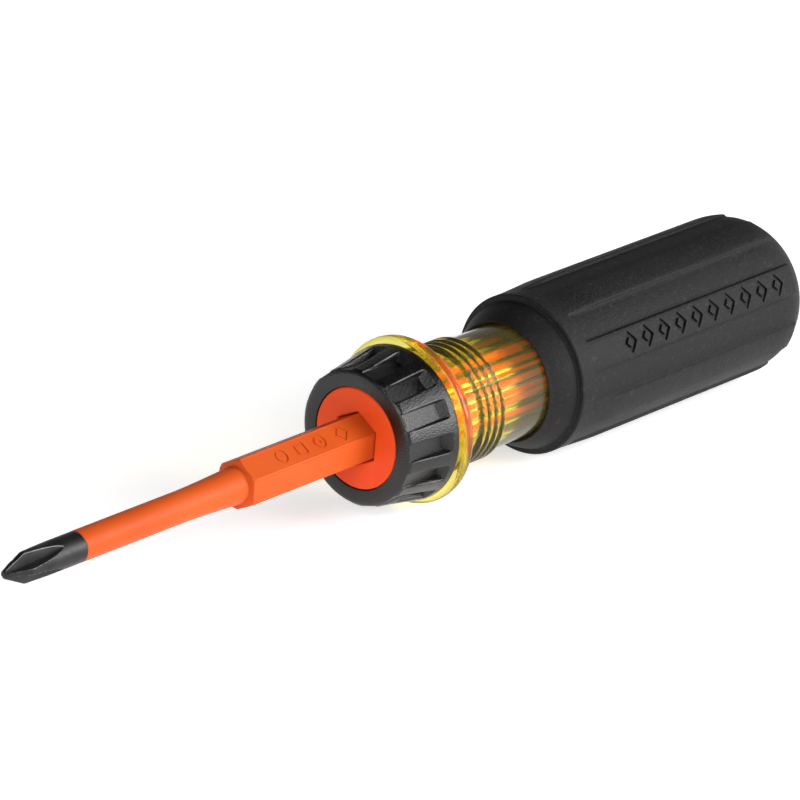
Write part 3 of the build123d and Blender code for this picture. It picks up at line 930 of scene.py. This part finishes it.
def make_grip():
    """Ribbed rubber sleeve with a domed butt, drawn from the butt to its mouth and back inside."""
    def outer(station):
        return lambda roll: (station, grip_radius(station, roll))

    edges = [k * GROOVE_ANGLE + GROOVE_ANGLE / 2 for k in range(2 * RIBS)]
    rolls = rolls_with_edges(edges, 2.6, (-1.0, -0.72, -0.45, -0.15, 0.15, 0.45, 0.72, 1.0))
    rings = [(TOTAL + run, radius) for run, radius in reversed(BUTT_FLAT)]
    rings += [outer(TOTAL - DOME + DOME * sin(radians(a))) for a in steps(87, 24, 3)]
    rings += [outer(s) for s in GRIP_SAMPLES]
    rings += COLLAR_FLAT
    rings += arc((COLLAR_START + COLLAR_EDGE, COLLAR - COLLAR_EDGE), COLLAR_EDGE, 90, 180, 5)
    rings += COLLAR_STEP
    rings += [(s, mouth_cone(s)) for s in steps(MOUTH_END, MOUTH + 0.4, 0.46)]
    rings += arc((MOUTH + MOUTH_LIP, MOUTH_RADIUS - GAP), MOUTH_LIP, 130, 230, 4)
    rings += MOUTH_THROAT
    rings += [(BODY_START - GAP, NECK + GAP), (BODY_FULL - GAP, CORE_BODY + GAP)]
    for anchor in ANCHORS:
        rings += anchor_rings(anchor, GAP)
    rings += [(BODY_TAPER + GAP, CORE_BODY + GAP), (CORE_END + GAP, CORE_END_RADIUS),
              (CORE_END + GAP, 0)]
    piece = round_solid("cushion_grip_detail", rolls, rings)
    cut(piece, lozenge_cutters())
    sharpen(piece, 40)
    dress(piece, RUBBER, "handle", "cushion_grip")


def lozenge_cutters():
    """A row of plain sunk lozenges along one rib."""
    along, across = LOZENGE_HALF
    outer = [(along, 0), (0, across), (-along, 0), (0, -across)]
    inner = [(x * LOZENGE_INNER, y * LOZENGE_INNER) for x, y in outer]
    return [sunk_mark(LOZENGE_START + i * LOZENGE_PITCH, LOZENGE_BASE, LOZENGE_ROLL, LOZENGE_DEPTH,
                      outer, inner) for i in range(LOZENGES)]


# ---- floor, lights and camera -----------------------------------------------------------------
LAMPS = (                       # name, azimuth, elevation, distance, size (m), power (W)
    ("key", 28, 20, 1.0, 0.60, 11.5),
    ("fill", -62, 27, 1.1, 0.60, 6.2),
    ("side", 82, 24, 1.1, 0.40, 1.7))
HORIZON, OVERHEAD = 0.50, 0.02  # greys of the studio's walls and ceiling
OVERHEAD_START = 0.7
FLOOR_HALF = 3.0                # m
FLOOR_DROP = 0.0002             # m, so that the floor clears the object's lowest points
VIEW_AZIMUTH, VIEW_ELEVATION, VIEW_DISTANCE = -48.3, 20.05, 1.3257
VIEW_AIM = (0.0003, 0.0009, AXIS_Z + 0.0038)
LENS, SENSOR = 315, 36


def make_floor():
    bm = bmesh.new()
    bmesh.ops.create_grid(bm, x_segments=2, y_segments=2, size=FLOOR_HALF)
    ground = finish_mesh("floor", bm)
    ground.location.z = -FLOOR_DROP
    ground.data.materials.append(material(
        "floor_pale", Base_Color=(0.82, 0.82, 0.82, 1), Roughness=0.75, Specular_IOR_Level=0.2,
        Emission_Color=(1, 1, 1, 1), Emission_Strength=0.62))


def aim_from(thing, target, azimuth, elevation, distance):
    """Places a lamp or camera by its direction and distance from a target, looking at it."""
    a, e = radians(azimuth), radians(elevation)
    away = Vector((sin(a) * cos(e), -cos(a) * cos(e), sin(e)))
    thing.location = Vector(target) + away * distance
    thing.rotation_euler = (-away).to_track_quat("-Z", "Y").to_euler()
    bpy.context.scene.collection.objects.link(thing)


def make_lamp(name, azimuth, elevation, distance, size, power):
    """Square soft lamp that points at the tool's middle."""
    data = bpy.data.lights.new(name, "AREA")
    data.shape = "SQUARE"
    data.size = size
    data.energy = power
    aim_from(bpy.data.objects.new(name, data), (0, 0, AXIS_Z), azimuth, elevation, distance)


def make_world():
    """Grey at the horizon and nearly black overhead."""
    world = bpy.data.worlds.new("studio")
    bpy.context.scene.world = world
    world.use_nodes = True
    tree = world.node_tree
    place = tree.nodes.new("ShaderNodeTexCoord")
    axes = tree.nodes.new("ShaderNodeSeparateXYZ")
    shade = tree.nodes.new("ShaderNodeValToRGB")
    tree.links.new(place.outputs["Generated"], axes.inputs["Vector"])
    tree.links.new(axes.outputs["Z"], shade.inputs["Fac"])
    tree.links.new(shade.outputs["Color"], tree.nodes["Background"].inputs["Color"])
    horizon, overhead = shade.color_ramp.elements
    horizon.color = (HORIZON, HORIZON, HORIZON, 1)
    overhead.position = OVERHEAD_START
    overhead.color = (OVERHEAD, OVERHEAD, OVERHEAD, 1)


def make_camera():
    """Camera at the photo's viewing angle, and plain colours from the view transform."""
    camera = bpy.data.objects.new("camera", bpy.data.cameras.new("camera"))
    camera.data.lens = LENS
    camera.data.sensor_width = SENSOR
    aim_from(camera, VIEW_AIM, VIEW_AZIMUTH, VIEW_ELEVATION, VIEW_DISTANCE)
    bpy.context.scene.camera = camera
    bpy.context.scene.view_settings.view_transform = "Standard"


# ---- the scene --------------------------------------------------------------------------------
make_camera()
make_floor()
for lamp in LAMPS:
    make_lamp(*lamp)
make_world()

make_steel()
make_cover()
make_collet()
make_nut()
make_core()
make_grip()
for node, finish in (("blade_inner_layer", INNER), ("collet_retainer", BLACK), ("bore_plug", BLACK)):
    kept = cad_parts[node]
    kept.data.materials.clear()
    kept.data.materials.append(finish)
